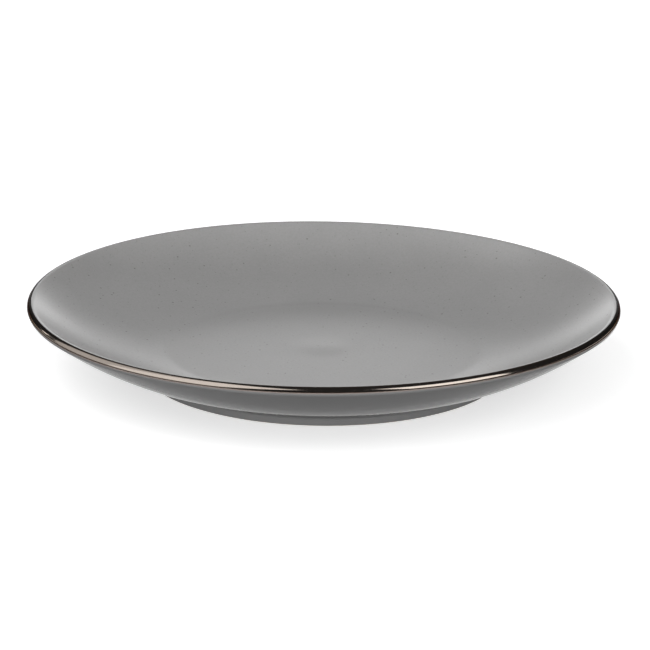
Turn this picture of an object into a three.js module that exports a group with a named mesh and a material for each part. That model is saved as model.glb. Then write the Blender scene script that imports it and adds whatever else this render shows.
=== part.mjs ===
// A small coupe fruit plate in glazed stoneware, in its separate layers: the fired clay body, the speckled
// glaze inside, the plain glaze outside, the glaze in the foot recess and the metallic band on the lip.
// Millimetres, +Z up. The origin is the centre of the foot ring, on the table.
import * as THREE from 'three';

// The glazed plate
const PLATE_DIAMETER = 210; // across the outside of the lip
const PLATE_HEIGHT = 27; // from the table to the top of the lip
const LIP_THICKNESS = 3.5; // the round lip, and so its section's diameter
const LIP_SLOPE = 38; // degrees, the wall where it runs into the lip
const FLOOR_THICKNESS = 4.8; // from the recess to the floor of the well
const WELL_DIAMETER = 107; // the flat floor, to the soft crease where the wall starts to rise
const WELL_SLOPE = 6; // degrees, the wall where it leaves the well
const CENTRE_DIAMETER = 28; // the low rise left at the middle of the well by the throwing
const CENTRE_RISE = 0.35;

// The foot
const FOOT_DIAMETER = 128.6; // outside of the foot ring, where its side would meet the table
const FOOT_WIDTH = 5.2; // the ring from its outside to its inside, at the table
const FOOT_HEIGHT = 4.1; // from the table to the wall's underside, beside the ring
const FOOT_SLOPE = 17.4; // degrees, the wall where it runs into the foot
const FOOT_DRAFT = 12; // degrees, how far the ring's two sides lean apart towards the root
const FOOT_FILLET = 1.5; // the hollow between the wall and the ring
const FOOT_EDGE_RADIUS = 0.8; // the ring's bare lower edges, wiped clean of glaze
const RECESS_DEPTH = 3.2; // from the table to the underside of the floor
const RECESS_FILLET = 1.5; // the hollow between the ring and the underside of the floor

// The coats
const GLAZE_THICKNESS = 0.4;
const BOND_GAP = 0.02; // keeps each coat a solid of its own over the clay
const BAND_TOP = 83; // degrees round the lip, from its outermost point towards its crest
const BAND_BOTTOM = 3;

// Facets
const SIDES = 64;
const WALL_STEPS = 6;
const LIP_STEPS = 2;
const BAND_STEPS = 4;
const FILLET_STEPS = 3;
const CENTRE_STEPS = 3;
const EDGE_STEPS = 2;

const { degToRad } = THREE.MathUtils;
const point = (radius, height) => new THREE.Vector2(radius, height);
const heading = (degrees, length) => point(length, 0).rotateAround(point(0, 0), degToRad(degrees));

// A round stretch of outline about a centre, between two directions in degrees.
function arc(centre, radius, from, to, steps) {
  const step = (to - from) / steps;
  return Array.from({ length: steps + 1 }, (_, i) => heading(from + step * i, radius).add(centre));
}

// A smooth stretch of outline that leaves its start in one direction and reaches its end in another.
function sweep(start, startDirection, end, endDirection, steps) {
  const reach = start.distanceTo(end) / 3;
  const leave = start.clone().add(heading(startDirection, reach));
  const arrive = end.clone().sub(heading(endDirection, reach));
  return new THREE.CubicBezierCurve(start, leave, arrive, end).getPoints(steps);
}

// The same outline moved into the clay, which lies to the right of its run. Points on the axis stay there.
function inset(outline, depth) {
  return outline.map((at, i) => {
    const before = outline[Math.max(i - 1, 0)];
    const after = outline[Math.min(i + 1, outline.length - 1)];
    const along = after.clone().sub(before).normalize();
    if (at.x === 0) along.set(Math.sign(along.x), 0);
    return point(at.x + along.y * depth, at.y - along.x * depth);
  });
}

// The foot's sides lean by the draft, and both are taken from the table.
const footLean = Math.tan(degToRad(FOOT_DRAFT));
const footOutside = (height) => point(FOOT_DIAMETER / 2 + height * footLean, height);
const footInside = (height) => point(FOOT_DIAMETER / 2 - FOOT_WIDTH - height * footLean, height);

// The clay lies one coat inside the glazed outline, and its round edge ends the coats on the foot's sides.
const CLAY_DEPTH = GLAZE_THICKNESS + BOND_GAP;
const draftSine = Math.sin(degToRad(FOOT_DRAFT));
const glazeEdge = FOOT_EDGE_RADIUS - (FOOT_EDGE_RADIUS + CLAY_DEPTH) * draftSine;

// Inside of the plate, from the middle of the well to the top of the band
const wellHeight = RECESS_DEPTH + FLOOR_THICKNESS;
const lipRadius = LIP_THICKNESS / 2;
const lipCentre = point(PLATE_DIAMETER / 2 - lipRadius, PLATE_HEIGHT - lipRadius);
const bandTop = heading(BAND_TOP, lipRadius).add(lipCentre);
const lipInside = [...arc(lipCentre, lipRadius, 90 + LIP_SLOPE, 90, LIP_STEPS), bandTop];
const centreEdge = point(CENTRE_DIAMETER / 2, wellHeight);
const wellEdge = point(WELL_DIAMETER / 2, wellHeight);
const insideLine = [
  ...sweep(point(0, wellHeight + CENTRE_RISE), 0, centreEdge, 0, CENTRE_STEPS),
  ...sweep(wellEdge, WELL_SLOPE, lipInside[0], LIP_SLOPE, WALL_STEPS),
  ...lipInside.slice(1),
];

// The band, round the outer half of the lip
const bandLine = arc(lipCentre, lipRadius, BAND_TOP, BAND_BOTTOM, BAND_STEPS);

// Outside of the plate, from the band down the wall to the bare edge of the foot
const lipOutside = arc(lipCentre, lipRadius, BAND_BOTTOM, LIP_SLOPE - 90, LIP_STEPS);
const wallFoot = footOutside(FOOT_HEIGHT).add(point(FOOT_FILLET, 0));
const ringTop = footOutside(FOOT_HEIGHT - FOOT_FILLET);
const outsideLine = [
  ...lipOutside,
  ...sweep(lipOutside.at(-1), 180 + LIP_SLOPE, wallFoot, 180 + FOOT_SLOPE, WALL_STEPS).slice(1),
  ...sweep(wallFoot, 180 + FOOT_SLOPE, ringTop, 270 - FOOT_DRAFT, FILLET_STEPS).slice(1),
  footOutside(glazeEdge),
];

// Underside, from the bare edge of the foot up the inside of the ring and in to the middle
const recessWall = footInside(RECESS_DEPTH - RECESS_FILLET);
const recessCeiling = footInside(RECESS_DEPTH).sub(point(RECESS_FILLET, 0));
const recessLine = [
  footInside(glazeEdge),
  ...sweep(recessWall, 90 + FOOT_DRAFT, recessCeiling, 180, FILLET_STEPS),
  point(0, RECESS_DEPTH),
];

// The three upper coats share one outline, so that they meet edge to edge round the lip.
const topLine = [...insideLine, ...bandLine.slice(1), ...outsideLine.slice(1)];
const topBack = inset(topLine, GLAZE_THICKNESS);
const recessBack = inset(recessLine, GLAZE_THICKNESS);
const bandStart = insideLine.length - 1;
const bandEnd = bandStart + BAND_STEPS;

const stretch = (line, from, to) => line.slice(from, to + 1);
const closed = (outline) => [...outline, outline[0].clone()];
const coat = (face, back) => [...face, ...back.toReversed()];

// The clay: one coat inside the glaze all round, with round bare edges and a flat ring where it meets the table
const clayTop = inset(topLine, CLAY_DEPTH);
const clayRecess = inset(recessLine, CLAY_DEPTH);
const edgeReach = FOOT_EDGE_RADIUS * Math.cos(degToRad(FOOT_DRAFT));
const outerEdgeCentre = point(clayTop.at(-1).x - edgeReach, FOOT_EDGE_RADIUS);
const innerEdgeCentre = point(clayRecess[0].x + edgeReach, FOOT_EDGE_RADIUS);
const clayOutline = [
  ...clayTop,
  ...arc(outerEdgeCentre, FOOT_EDGE_RADIUS, -FOOT_DRAFT, -90, EDGE_STEPS).slice(1),
  ...arc(innerEdgeCentre, FOOT_EDGE_RADIUS, -90, FOOT_DRAFT - 180, EDGE_STEPS).slice(0, -1),
  ...clayRecess,
];

const last = topLine.length - 1;
const insideCoat = coat(stretch(topLine, 0, bandStart), stretch(topBack, 0, bandStart));
const bandCoat = coat(stretch(topLine, bandStart, bandEnd), stretch(topBack, bandStart, bandEnd));
const outsideCoat = coat(stretch(topLine, bandEnd, last), stretch(topBack, bandEnd, last));
const recessCoat = [...recessBack.toReversed(), ...recessLine];

const bareClay = new THREE.MeshStandardMaterial({ color: 0xb4a794, roughness: 0.92, metalness: 0 });
const speckledGlaze = new THREE.MeshStandardMaterial({ color: 0x8f8e8c, roughness: 0.42, metalness: 0 });
const plainGlaze = new THREE.MeshStandardMaterial({ color: 0x8a8a89, roughness: 0.36, metalness: 0 });
const darkLustre = new THREE.MeshStandardMaterial({ color: 0x6a5f56, roughness: 0.2, metalness: 1 });

// One turned layer of the plate: its outline, run from the underside up, revolved about the upright axis.
function turned(name, outline, material) {
  const layer = new THREE.Mesh(new THREE.LatheGeometry(outline.toReversed(), SIDES), material);
  layer.name = name;
  layer.geometry.rotateX(Math.PI / 2);
  return layer;
}

const plate = new THREE.Group();
plate.name = 'fruit_plate';
plate.add(
  turned('stoneware_body', clayOutline, bareClay),
  turned('inside_glaze', insideCoat, speckledGlaze),
  turned('outside_glaze', closed(outsideCoat), plainGlaze),
  turned('recess_glaze', recessCoat, plainGlaze),
  turned('rim_band', closed(bandCoat), darkLustre),
);

export default plate;
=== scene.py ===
# A coupe fruit plate in grey glazed stoneware with a dark metallic band on its lip, on a white table.
import math

import bmesh
import bpy
from mathutils import Matrix, Quaternion, Vector
from mathutils.geometry import interpolate_bezier


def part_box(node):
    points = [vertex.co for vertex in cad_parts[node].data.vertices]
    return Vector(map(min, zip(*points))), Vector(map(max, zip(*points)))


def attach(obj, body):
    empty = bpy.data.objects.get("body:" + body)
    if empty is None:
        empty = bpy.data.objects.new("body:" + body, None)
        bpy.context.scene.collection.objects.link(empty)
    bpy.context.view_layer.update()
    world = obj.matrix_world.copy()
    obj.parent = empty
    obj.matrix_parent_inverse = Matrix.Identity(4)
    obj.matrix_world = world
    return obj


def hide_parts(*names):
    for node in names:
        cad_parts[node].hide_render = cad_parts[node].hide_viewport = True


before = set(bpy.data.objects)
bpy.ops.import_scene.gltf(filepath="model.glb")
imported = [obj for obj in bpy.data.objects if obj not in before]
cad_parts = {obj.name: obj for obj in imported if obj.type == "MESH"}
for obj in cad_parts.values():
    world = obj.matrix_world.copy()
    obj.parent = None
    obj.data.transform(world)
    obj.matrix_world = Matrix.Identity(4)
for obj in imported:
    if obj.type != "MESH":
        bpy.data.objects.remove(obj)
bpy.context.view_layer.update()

# The glazed section, in metres, with the lip, well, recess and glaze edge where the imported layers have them
GLAZE_THICKNESS = 0.0004
BOND_GAP = 0.00002  # between a coat and the clay
plate_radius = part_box("outside_glaze")[1].x
lip_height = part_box("inside_glaze")[1].z
well_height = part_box("inside_glaze")[0].z + GLAZE_THICKNESS
recess_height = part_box("recess_glaze")[1].z - GLAZE_THICKNESS
glaze_edge_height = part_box("outside_glaze")[0].z

LIP_THICKNESS = 0.0035  # the round lip, and so its section's diameter
LIP_SLOPE = 38  # degrees, the wall where it runs into the lip
CENTRE_RADIUS = 0.014  # the low rise at the middle of the well
CENTRE_RISE = 0.00020
RING_RADIUS = 0.0535  # the soft ripple where the wall leaves the well
RING_WIDTH = 0.0076
RING_RISE = 0.00005  # at the top of the ripple
RING_END_RISE = 0.00020  # where the ripple runs into the wall
WELL_SLOPE = 6  # degrees, the wall where it leaves the ring

FOOT_RADIUS = 0.0643  # outside of the foot ring, where its side would meet the table
FOOT_WIDTH = 0.0052  # the ring from its outside to its inside, at the table
FOOT_HEIGHT = 0.0041  # from the table to the wall's underside, beside the ring
FOOT_SLOPE = 17.4  # degrees, the wall where it runs into the foot
FOOT_DRAFT = 12  # degrees, how far the ring's two sides lean
FOOT_FILLET = 0.0015  # the hollow between the wall and the ring
FOOT_EDGE_RADIUS = 0.0008  # the ring's bare lower edges
RECESS_FILLET = 0.0015  # the hollow between the ring and the underside of the floor

BAND_TOP = 83  # degrees round the lip, from its outermost point towards its crest
BAND_BOTTOM = 3
LIP_WARP = 0.00032  # how far the firing left the lip high in two quarters and low in the other two

# Fineness of the turned surfaces
SIDES = 288
WALL_STEPS = 36
LIP_STEPS = 10
BAND_STEPS = 18
FILLET_STEPS = 8
CENTRE_STEPS = 12
RING_STEPS = 8
EDGE_STEPS = 6
SEAM = 1e-7  # points closer than this are one point


def heading(degrees, length):
    """A step of the given length in a direction of the section, outwards at 0 degrees and up at 90."""
    turn = math.radians(degrees)
    return Vector((math.cos(turn), math.sin(turn))) * length


def arc(centre, radius, start, end, steps):
    """A round stretch of outline about a centre, between two directions in degrees."""
    step = (end - start) / steps
    return [centre + heading(start + step * i, radius) for i in range(steps + 1)]


def sweep(start, leaving, end, arriving, steps):
    """A smooth stretch of outline that leaves its start in one direction and reaches its end in another."""
    reach = (end - start).length / 3
    leave = start + heading(leaving, reach)
    arrive = end - heading(arriving, reach)
    return interpolate_bezier(start, leave, arrive, end, steps + 1)


def inset(outline, depth):
    """The outline moved into the clay, on the right of its run. Points on the axis stay there."""
    moved = []
    for i, at in enumerate(outline):
        along = (outline[min(i + 1, len(outline) - 1)] - outline[max(i - 1, 0)]).normalized()
        if at.x == 0:
            along = Vector((math.copysign(1, along.x), 0))
        moved.append(at + Vector((along.y, -along.x)) * depth)
    return moved


def foot_outside(height):
    """A place on the outer side of the foot ring."""
    return Vector((FOOT_RADIUS + height * math.tan(math.radians(FOOT_DRAFT)), height))


def foot_inside(height):
    """A place on the inner side of the foot ring."""
    return Vector((FOOT_RADIUS - FOOT_WIDTH - height * math.tan(math.radians(FOOT_DRAFT)), height))


# Outlines of the glazed surface, from the middle of the well over the lip to the foot, and underneath
lip_radius = LIP_THICKNESS / 2
lip_centre = Vector((plate_radius - lip_radius, lip_height - lip_radius))


def inside_outline():
    """From the middle of the well, over its ripple and up the wall, to the top of the band."""
    centre_edge = Vector((CENTRE_RADIUS, well_height))
    ring_start = Vector((RING_RADIUS - RING_WIDTH / 2, well_height))
    ring_top = Vector((RING_RADIUS, well_height + RING_RISE))
    ring_end = Vector((RING_RADIUS + RING_WIDTH / 2, well_height + RING_END_RISE))
    lip = arc(lip_centre, lip_radius, 90 + LIP_SLOPE, BAND_TOP, LIP_STEPS)
    return [
        *sweep(Vector((0, well_height + CENTRE_RISE)), 0, centre_edge, 0, CENTRE_STEPS),
        *sweep(ring_start, 0, ring_top, 0, RING_STEPS),
        *sweep(ring_top, 0, ring_end, WELL_SLOPE, RING_STEPS)[1:],
        *sweep(ring_end, WELL_SLOPE, lip[0], LIP_SLOPE, WALL_STEPS)[1:],
        *lip[1:],
    ]


def outside_outline():
    """From the bottom of the band, down the wall, to the glaze's edge on the foot."""
    lip = arc(lip_centre, lip_radius, BAND_BOTTOM, LIP_SLOPE - 90, LIP_STEPS)
    wall_foot = foot_outside(FOOT_HEIGHT) + Vector((FOOT_FILLET, 0))
    ring_top = foot_outside(FOOT_HEIGHT - FOOT_FILLET)
    return [
        *lip,
        *sweep(lip[-1], 180 + LIP_SLOPE, wall_foot, 180 + FOOT_SLOPE, WALL_STEPS)[1:],
        *sweep(wall_foot, 180 + FOOT_SLOPE, ring_top, 270 - FOOT_DRAFT, FILLET_STEPS)[1:],
        foot_outside(glaze_edge_height),
    ]


def recess_outline():
    """From the glaze's edge inside the foot ring, up and in to the middle."""
    wall = foot_inside(recess_height - RECESS_FILLET)
    ceiling = foot_inside(recess_height) - Vector((RECESS_FILLET, 0))
    return [
        foot_inside(glaze_edge_height),
        *sweep(wall, 90 + FOOT_DRAFT, ceiling, 180, FILLET_STEPS),
        Vector((0, recess_height)),
    ]


def rolled_edge(face_end, back_end):
    """The round edge of a coat, from the end of its face to the end of its back."""
    middle = (face_end + back_end) / 2
    across = face_end - middle
    start = math.degrees(math.atan2(across.y, across.x))
    return arc(middle, across.length, start, start - 180, EDGE_STEPS)[1:-1]


inside_line = inside_outline()
band_line = arc(lip_centre, lip_radius, BAND_TOP, BAND_BOTTOM, BAND_STEPS)
outside_line = outside_outline()
recess_line = recess_outline()
top_line = [*inside_line, *band_line[1:], *outside_line[1:]]
band_start = len(inside_line) - 1
band_end = band_start + BAND_STEPS


def clay_outline():
    """The fired clay, one coat inside the glaze, with round bare edges and a flat ring on the table."""
    depth = GLAZE_THICKNESS + BOND_GAP
    top = inset(top_line, depth)
    recess = inset(recess_line, depth)
    reach = Vector((FOOT_EDGE_RADIUS * math.cos(math.radians(FOOT_DRAFT)), 0))
    outer_centre = Vector((top[-1].x, FOOT_EDGE_RADIUS)) - reach
    inner_centre = Vector((recess[0].x, FOOT_EDGE_RADIUS)) + reach
    return [
        *top,
        *arc(outer_centre, FOOT_EDGE_RADIUS, -FOOT_DRAFT, -90, EDGE_STEPS)[1:],
        *arc(inner_centre, FOOT_EDGE_RADIUS, -90, FOOT_DRAFT - 180, EDGE_STEPS)[:-1],
        *recess,
    ]


def coat_outline(first, last):
    """A stretch of the upper coat, from one point of the shared outline to another."""
    face = top_line[first:last + 1]
    back = inset(top_line, GLAZE_THICKNESS)[first:last + 1]
    edge = rolled_edge(face[-1], back[-1]) if last == len(top_line) - 1 else []
    return [*face, *edge, *reversed(back)]


def recess_coat_outline():
    back = inset(recess_line, GLAZE_THICKNESS)
    edge = rolled_edge(back[0], recess_line[0])
    return [*reversed(back), *edge, *recess_line]


def fired_warp(reach, turn):
    """How far the firing lifted the wall at a place: nothing at the foot, the most at the lip."""
    share = max(0, (reach - FOOT_RADIUS) / (plate_radius - FOOT_RADIUS))
    return -LIP_WARP * share ** 2 * math.sin(2 * turn)


def turned(name, outline, finish):
    """
    A layer of the plate: its outline spun about the upright axis, closed and smooth. Each point keeps
    the height that it had in the section, before the firing warped it.
    """
    section = bmesh.new()
    points = [section.verts.new((at.x, 0, at.y)) for at in outline]
    ends_on_axis = outline[0].x == 0 and outline[-1].x == 0
    following = points[1:] if ends_on_axis else points[1:] + points[:1]
    edges = [section.edges.new(pair) for pair in zip(points, following)]
    bmesh.ops.spin(
        section,
        geom=points + edges,
        axis=(0, 0, 1),
        cent=(0, 0, 0),
        dvec=(0, 0, 0),
        angle=math.tau,
        steps=SIDES,
        use_merge=True,
    )
    bmesh.ops.remove_doubles(section, verts=section.verts, dist=SEAM)
    bmesh.ops.recalc_face_normals(section, faces=section.faces)
    unfired_height = section.verts.layers.float.new("section_height")
    for vert in section.verts:
        reach = math.hypot(vert.co.x, vert.co.y)
        vert[unfired_height] = vert.co.z
        vert.co.z += fired_warp(reach, math.atan2(vert.co.y, vert.co.x))
    for face in section.faces:
        face.smooth = True
    mesh = bpy.data.meshes.new(name)
    section.to_mesh(mesh)
    section.free()
    mesh.materials.append(finish)
    layer = bpy.data.objects.new(name, mesh)
    bpy.context.collection.objects.link(layer)
    return layer


def put(tree, kind, inputs, **settings):
    """Adds a node to a material: its settings, then each input as a value or as a socket to join."""
    node = tree.nodes.new(kind)
    for name, value in settings.items():
        setattr(node, name, value)
    for name, value in inputs.items():
        if isinstance(value, bpy.types.NodeSocket):
            tree.links.new(value, node.inputs[name])
        else:
            node.inputs[name].default_value = value
    return node


def new_finish(name):
    """An empty node material with its shader, and the Object coordinates that its pattern reads."""
    finish = bpy.data.materials.new(name)
    finish.use_nodes = True
    tree = finish.node_tree
    place = put(tree, "ShaderNodeTexCoord", {}).outputs["Object"]
    return finish, tree, tree.nodes["Principled BSDF"], place


def section_height(tree):
    """The height in the plate's section, in metres, from before the firing."""
    return put(tree, "ShaderNodeAttribute", {}, attribute_name="section_height").outputs["Fac"]


def noise(tree, place, size, detail=2.0, roughness=0.5):
    """Cloudy variation from 0 to 1, with clouds of about the given size in metres."""
    inputs = {"Vector": place, "Scale": 1 / size, "Detail": detail, "Roughness": roughness}
    return put(tree, "ShaderNodeTexNoise", inputs).outputs["Fac"]


def between(tree, value, low, high, start=0.0, end=1.0):
    """Carries a value from the range between start and end over to the range between low and high."""
    inputs = {"Value": value, "From Min": start, "From Max": end, "To Min": low, "To Max": high}
    return put(tree, "ShaderNodeMapRange", inputs).outputs["Result"]


def math_node(tree, operation, *values):
    return put(tree, "ShaderNodeMath", dict(enumerate(values)), operation=operation).outputs["Value"]


# Places of the two colours and of the result among a mix node's sockets
FIRST_COLOUR = 6
SECOND_COLOUR = 7
MIXED_COLOUR = 2


def mixed(tree, share, first, second):
    """The first colour where the share is 0, and the second where it is 1."""
    inputs = {"Factor": share, FIRST_COLOUR: first, SECOND_COLOUR: second}
    return put(tree, "ShaderNodeMix", inputs, data_type="RGBA").outputs[MIXED_COLOUR]


def grey(level, warmth=0.0):
    """A near-grey, with red raised and blue lowered by the warmth."""
    return (level * (1 + warmth), level, level * (1 - warmth), 1)


SMALLEST_SPECK = 0.45  # a share of the largest speck's radius
SPECK_CORE = 0.45  # the share of a speck's radius that is fully dark


def specks(tree, place, spacing, radius):
    """Round specks in the body of the glaze, cut by its surface: 1 in a speck and 0 outside it."""
    cells = put(tree, "ShaderNodeTexVoronoi", {"Vector": place, "Scale": 1 / spacing})
    largest = radius / spacing
    reach = between(tree, cells.outputs["Color"], SMALLEST_SPECK * largest, largest)
    depth = math_node(tree, "DIVIDE", cells.outputs["Distance"], reach)
    return between(tree, depth, 1.0, 0.0, SPECK_CORE, 1.0)


def bumped(tree, height, distance):
    """The surface's direction with a relief on it, of the given height in metres."""
    inputs = {"Height": height, "Distance": distance, "Strength": 1.0}
    return put(tree, "ShaderNodeBump", inputs).outputs["Normal"]


def lip_level(degrees):
    """The height of a place on the round of the lip."""
    return lip_centre.y + lip_radius * math.sin(math.radians(degrees))


# The speckled glaze inside: sizes in metres, depths as shares of the darker tone that show
WELL_CLOUD_SIZE = 0.020
WELL_TONES = (grey(0.258, 0.006), grey(0.286, 0.012))
MOTTLE_SIZE = 0.0008
MOTTLE_DEPTH = 0.24
MOTTLE_RANGE = (0.35, 0.75)  # of the noise
MOTTLE_TONE = grey(0.19, 0.02)
LARGE_SPECK_SPACING = 0.0037
LARGE_SPECK_RADIUS = 0.00050
SMALL_SPECK_SPACING = 0.0017
SMALL_SPECK_RADIUS = 0.00029
SMALL_SPECK_DEPTH = 0.66
SPECK_DEPTH = 0.53
SPECK_TONE = grey(0.03, 0.10)
SPECK_PIT = 0.6  # how far a speck sinks, as a share of the skin's relief
WELL_GLOSS_SIZE = 0.0040
WELL_ROUGHNESS = (0.235, 0.265)
WELL_SKIN_SIZE = 0.0022
WELL_SKIN_RELIEF = 0.000001


def speckled_glaze():
    finish, tree, shader, place = new_finish("speckled_glaze")
    tone = mixed(tree, noise(tree, place, WELL_CLOUD_SIZE, detail=3.0), *WELL_TONES)
    mottle = between(tree, noise(tree, place, MOTTLE_SIZE), 0.0, MOTTLE_DEPTH, *MOTTLE_RANGE)
    tone = mixed(tree, mottle, tone, MOTTLE_TONE)
    large = specks(tree, place, LARGE_SPECK_SPACING, LARGE_SPECK_RADIUS)
    small = specks(tree, place, SMALL_SPECK_SPACING, SMALL_SPECK_RADIUS)
    dark = math_node(tree, "MAXIMUM", large, math_node(tree, "MULTIPLY", small, SMALL_SPECK_DEPTH))
    colour = mixed(tree, math_node(tree, "MULTIPLY", dark, SPECK_DEPTH), tone, SPECK_TONE)
    tree.links.new(colour, shader.inputs["Base Color"])
    satin = between(tree, noise(tree, place, WELL_GLOSS_SIZE), *WELL_ROUGHNESS)
    tree.links.new(satin, shader.inputs["Roughness"])
    skin = noise(tree, place, WELL_SKIN_SIZE)
    relief = math_node(tree, "SUBTRACT", skin, math_node(tree, "MULTIPLY", dark, SPECK_PIT))
    tree.links.new(bumped(tree, relief, WELL_SKIN_RELIEF), shader.inputs["Normal"])
    return finish


# The plain glaze outside and under the foot, with the warm stain that the lustre leaves just below the band
WALL_CLOUD_SIZE = 0.024
# A darker grey than the glaze inside
WALL_TONES = (grey(0.160), grey(0.176, 0.006))
PIT_SPACING = 0.0030
PIT_RADIUS = 0.00016
PIT_DEPTH = 0.4
PIT_TONE = grey(0.09, 0.08)
STAIN_START = -5  # degrees round the lip
STAIN_END = -11
STAIN_TONE = (0.19, 0.16, 0.145, 1)
WALL_GLOSS_SIZE = 0.0020
WALL_ROUGHNESS = (0.04, 0.08)
WALL_SHINE = 0.013
WALL_SKIN_SIZE = 0.0014
WALL_SKIN_RELIEF = 0.00001


def plain_glaze():
    finish, tree, shader, place = new_finish("plain_glaze")
    tone = mixed(tree, noise(tree, place, WALL_CLOUD_SIZE, detail=3.0), *WALL_TONES)
    pits = specks(tree, place, PIT_SPACING, PIT_RADIUS)
    colour = mixed(tree, math_node(tree, "MULTIPLY", pits, PIT_DEPTH), tone, PIT_TONE)
    stain = between(tree, section_height(tree), 0.0, 1.0, lip_level(STAIN_END), lip_level(STAIN_START))
    tree.links.new(mixed(tree, stain, colour, STAIN_TONE), shader.inputs["Base Color"])
    satin = between(tree, noise(tree, place, WALL_GLOSS_SIZE, detail=3.0), *WALL_ROUGHNESS)
    tree.links.new(satin, shader.inputs["Roughness"])
    shader.inputs["Specular IOR Level"].default_value = WALL_SHINE
    skin = bumped(tree, noise(tree, place, WALL_SKIN_SIZE), WALL_SKIN_RELIEF)
    tree.links.new(skin, shader.inputs["Normal"])
    return finish


# The metallic lustre on the lip, painted nearly black along its two edges: a painted dark reflection
STREAK_SIZE = 0.0030
LUSTRE_TONES = ((0.37, 0.32, 0.28, 1), (0.43, 0.38, 0.34, 1))
PAINTED_DARK_BELOW = 12  # degrees round the lip, below which the lustre is painted nearly black, a painted dark reflection
PAINTED_DARK_ABOVE = 60  # and above which it is painted nearly black too
PAINTED_DARK_FADE = 4  # degrees over which the painted dark edges fade in
# The painted dark reflection along the lustre's lower and upper edges
PAINTED_DARK_BOTTOM_TONE = (0.045, 0.033, 0.026, 1)
PAINTED_DARK_TOP_TONE = (0.080, 0.064, 0.055, 1)
LUSTRE_METAL = 0.98  # the rest is the glaze below
# Less metallic in the painted dark upper edge, which lifts that painted dark reflection a little
PAINTED_DARK_TOP_METAL = 0.88
LUSTRE_EDGE_TINT = (0.06, 0.05, 0.045, 1)  # of its mirror image where it is seen along the surface
POLISH_SIZE = 0.0009
LUSTRE_ROUGHNESS = (0.08, 0.14)
LUSTRE_SKIN_SIZE = 0.0007
LUSTRE_SKIN_RELIEF = 0.000003


def dark_lustre():
    finish, tree, shader, place = new_finish("dark_lustre")
    tone = mixed(tree, noise(tree, place, STREAK_SIZE, detail=4.0, roughness=0.65), *LUSTRE_TONES)
    height = section_height(tree)
    # Painted dark reflection: the lustre's colour goes nearly black below and above these angles round the
    # lip
    low = between(tree, height, 1.0, 0.0, lip_level(PAINTED_DARK_BELOW), lip_level(PAINTED_DARK_BELOW + PAINTED_DARK_FADE))
    high = between(tree, height, 0.0, 1.0, lip_level(PAINTED_DARK_ABOVE - PAINTED_DARK_FADE), lip_level(PAINTED_DARK_ABOVE))
    colour = mixed(tree, high, mixed(tree, low, tone, PAINTED_DARK_BOTTOM_TONE), PAINTED_DARK_TOP_TONE)
    tree.links.new(colour, shader.inputs["Base Color"])
    tree.links.new(between(tree, high, LUSTRE_METAL, PAINTED_DARK_TOP_METAL), shader.inputs["Metallic"])
    shader.inputs["Specular Tint"].default_value = LUSTRE_EDGE_TINT
    polish = between(tree, noise(tree, place, POLISH_SIZE, detail=3.0), *LUSTRE_ROUGHNESS)
    tree.links.new(polish, shader.inputs["Roughness"])
    skin = bumped(tree, noise(tree, place, LUSTRE_SKIN_SIZE), LUSTRE_SKIN_RELIEF)
    tree.links.new(skin, shader.inputs["Normal"])
    return finish


# The bare fired clay, with its grit
CLAY_CLOUD_SIZE = 0.006
CLAY_TONES = ((0.40, 0.335, 0.255, 1), (0.50, 0.43, 0.335, 1))
GRIT_SPACING = 0.0012
GRIT_RADIUS = 0.00022
GRIT_DEPTH = 0.55
GRIT_TONE = (0.12, 0.085, 0.06, 1)
CLAY_ROUGHNESS = 0.9
CLAY_GRAIN_SIZE = 0.0005
CLAY_GRAIN_RELIEF = 0.00008


def bare_clay():
    finish, tree, shader, place = new_finish("bare_clay")
    tone = mixed(tree, noise(tree, place, CLAY_CLOUD_SIZE, detail=4.0), *CLAY_TONES)
    grit = specks(tree, place, GRIT_SPACING, GRIT_RADIUS)
    colour = mixed(tree, math_node(tree, "MULTIPLY", grit, GRIT_DEPTH), tone, GRIT_TONE)
    tree.links.new(colour, shader.inputs["Base Color"])
    shader.inputs["Roughness"].default_value = CLAY_ROUGHNESS
    grain = noise(tree, place, CLAY_GRAIN_SIZE, detail=4.0, roughness=0.7)
    tree.links.new(bumped(tree, grain, CLAY_GRAIN_RELIEF), shader.inputs["Normal"])
    return finish


# The white table
TABLE_REACH = 30.0  # metres from its middle to each side
TABLE_WHITE = 0.88  # what the camera and the reflections see
TABLE_FIBRE = 0.0176  # how much paler its fibres are
TABLE_FIBRE_SIZE = 0.002
TABLE_GREY = 0.07  # what throws light back on the plate
TABLE_GLOW = 0.52  # lifts the white near the plate, for the camera and the reflections alone
TABLE_FAR_GLOW = 0.95  # and far from it, where the lamps don't reach
GLOW_RANGE = (0.9, 2.2)  # metres from the plate, over which the glow grows


def white_table():
    finish, tree, shader, place = new_finish("white_table")
    rays = put(tree, "ShaderNodeLightPath", {}).outputs
    mirrored = math_node(tree, "MAXIMUM", rays["Is Glossy Ray"], rays["Is Transmission Ray"])
    seen = math_node(tree, "MAXIMUM", rays["Is Camera Ray"], mirrored)
    fibres = noise(tree, place, TABLE_FIBRE_SIZE, detail=4.0)
    white = mixed(tree, fibres, grey(TABLE_WHITE), grey(TABLE_WHITE + TABLE_FIBRE))
    tree.links.new(mixed(tree, seen, grey(TABLE_GREY), white), shader.inputs["Base Color"])
    shader.inputs["Roughness"].default_value = 1.0
    shader.inputs["Specular IOR Level"].default_value = 0.0
    shader.inputs["Emission Color"].default_value = grey(1.0)
    away = put(tree, "ShaderNodeVectorMath", {0: place}, operation="LENGTH").outputs["Value"]
    glow = between(tree, away, TABLE_GLOW, TABLE_FAR_GLOW, *GLOW_RANGE)
    tree.links.new(math_node(tree, "MULTIPLY", seen, glow), shader.inputs["Emission Strength"])
    return finish


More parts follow.
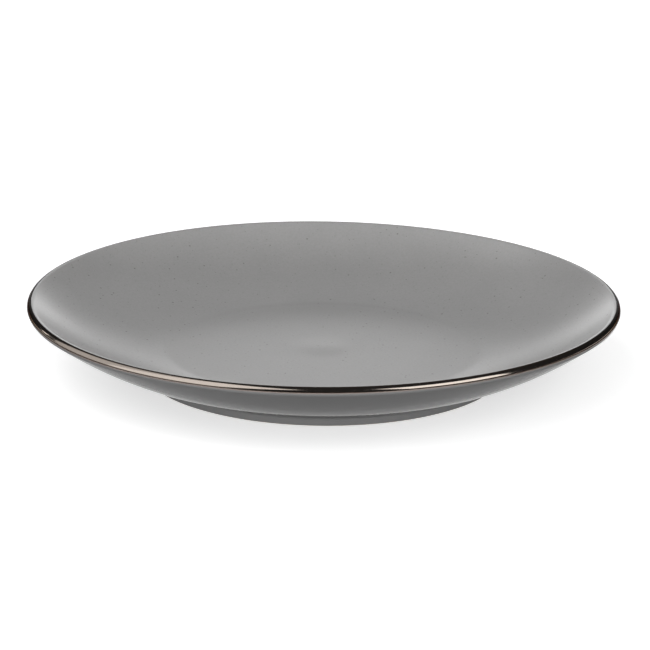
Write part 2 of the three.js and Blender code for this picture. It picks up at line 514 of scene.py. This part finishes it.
def add_table():
    sheet = bmesh.new()
    bmesh.ops.create_grid(sheet, x_segments=1, y_segments=1, size=TABLE_REACH)
    mesh = bpy.data.meshes.new("table")
    sheet.to_mesh(mesh)
    sheet.free()
    mesh.materials.append(white_table())
    table = bpy.data.objects.new("table", mesh)
    bpy.context.collection.objects.link(table)


# The lamps, in metres and watts
plate_middle = Vector((0, 0, lip_height / 2))


def add_softbox(name, stand, width, height, power, aim=plate_middle, mirrored=True):
    """A soft rectangular lamp, aimed at a place. Unmirrored, it leaves no shine on glaze or metal."""
    lamp = bpy.data.lights.new(name, "AREA")
    lamp.shape = "RECTANGLE"
    lamp.size = width
    lamp.size_y = height
    lamp.energy = power
    softbox = bpy.data.objects.new(name, lamp)
    softbox.location = stand
    softbox.rotation_euler = (aim - Vector(stand)).to_track_quat("-Z", "Y").to_euler()
    softbox.visible_camera = False
    softbox.visible_glossy = mirrored
    bpy.context.collection.objects.link(softbox)


def add_fill(name, stand, width, height, power):
    """An unmirrored lamp, aimed at the plate."""
    add_softbox(name, stand, width, height, power, mirrored=False)


def add_lamps():
    add_softbox(
        "left_softbox",
        stand=(-1.40, -1.12, 1.22),
        width=2.20,
        height=2.80,
        power=28.5,
        aim=Vector((0.16, -0.82, 0.013)),
    )
    add_softbox(
        "rear_softbox",
        stand=(-1.76, 0.74, 1.22),
        width=1.58,
        height=2.80,
        power=12.3,
        aim=Vector((-0.20, 1.04, 0.013)),
    )
    add_softbox("right_softbox", stand=(1.33, -1.08, 1.04), width=1.52, height=1.38, power=14)
    add_softbox("rear_lamp", stand=(-1.53, 1.28, 0.50), width=0.14, height=0.34, power=0.5)
    add_fill("front_card", stand=(0, -1.6, 0.10), width=3.6, height=0.20, power=27)
    add_fill("front_fill", stand=(0, -1.6, 0.60), width=2.4, height=0.80, power=12)
    add_fill("top_fill", stand=(0, -0.9, 1.60), width=2.4, height=1.40, power=6.8)
    add_fill("right_fill", stand=(1.6, 0.55, 0.40), width=1.2, height=0.50, power=5)
    add_fill("back_card", stand=(0, 1.6, 0.10), width=3.6, height=0.20, power=22)


# The white backdrop behind the plate: its levels, and its edges as parts of a direction of length 1
HORIZON_LEVEL = 0.75  # where it meets the table
BACKDROP_LEVEL = 2.2  # a little higher up
ROOM_LEVEL = 0.5  # above the backdrop
BACKDROP_RISE = (0.07, 0.16)
BACKDROP_FALL = (0.20, 0.36)
ROOM_END = (0.75, 0.90)
BACKDROP_SIDE = (0.33, 0.42)
BACKDROP_SLANT = 0.35  # how much lower it stands at its sides


def add_backdrop():
    """A white backdrop low behind the plate, brightest a little above the table and lower at its sides."""
    world = bpy.data.worlds.new("studio")
    bpy.context.scene.world = world
    world.use_nodes = True
    tree = world.node_tree
    direction = put(tree, "ShaderNodeTexCoord", {}).outputs["Generated"]
    axes = put(tree, "ShaderNodeSeparateXYZ", {"Vector": direction}).outputs
    aside = math_node(tree, "ABSOLUTE", axes["X"])
    height = math_node(tree, "ADD", axes["Z"], math_node(tree, "MULTIPLY", aside, BACKDROP_SLANT))
    rise = between(tree, height, HORIZON_LEVEL, BACKDROP_LEVEL, *BACKDROP_RISE)
    fall = between(tree, height, 0.0, ROOM_LEVEL - BACKDROP_LEVEL, *BACKDROP_FALL)
    top = between(tree, height, 0.0, -ROOM_LEVEL, *ROOM_END)
    wall = math_node(tree, "ADD", math_node(tree, "ADD", rise, fall), top)
    width = between(tree, aside, 1.0, 0.0, *BACKDROP_SIDE)
    behind = math_node(tree, "MULTIPLY", width, math_node(tree, "GREATER_THAN", axes["Y"], 0.0))
    tree.links.new(math_node(tree, "MULTIPLY", wall, behind), tree.nodes["Background"].inputs["Color"])


# The camera stands in front of the plate and looks down on it with a long lens
CAMERA_DISTANCE = 1.0  # metres
CAMERA_HEIGHT = math.radians(17.835)  # the angle from the table up to the camera
CAMERA_ROLL = math.radians(0.495)
CAMERA_LENS = 154.66  # millimetres
CAMERA_AIM = Vector((0.00048, 0.00474, 0.01472))


def add_camera():
    lens = bpy.data.cameras.new("camera")
    lens.lens = CAMERA_LENS
    camera = bpy.data.objects.new("camera", lens)
    stand = Vector((0, -math.cos(CAMERA_HEIGHT), math.sin(CAMERA_HEIGHT))) * CAMERA_DISTANCE
    look = (CAMERA_AIM - stand).to_track_quat("-Z", "Y") @ Quaternion((0, 0, 1), CAMERA_ROLL)
    camera.matrix_world = Matrix.Translation(stand) @ look.to_matrix().to_4x4()
    bpy.context.collection.objects.link(camera)
    bpy.context.scene.camera = camera


# The layers of the plate
outside_finish = plain_glaze()
coat_end = len(top_line) - 1
layers = [
    ("clay", clay_outline(), bare_clay(), "stoneware_body", "bare_clay"),
    ("well_glaze", coat_outline(0, band_start), speckled_glaze(), "inside_glaze", "speckled_glaze"),
    ("lip_band", coat_outline(band_start, band_end), dark_lustre(), "rim_band", "dark_lustre"),
    ("wall_glaze", coat_outline(band_end, coat_end), outside_finish, "outside_glaze", "plain_glaze"),
    ("foot_glaze", recess_coat_outline(), outside_finish, "recess_glaze", "plain_glaze"),
]
for name, outline, finish, node, slot in layers:
    layer = turned(name, outline, finish)
    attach(layer, "root")
    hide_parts(node)

# The studio
add_table()
add_backdrop()
add_camera()
add_lamps()
bpy.context.scene.view_settings.view_transform = "Standard"
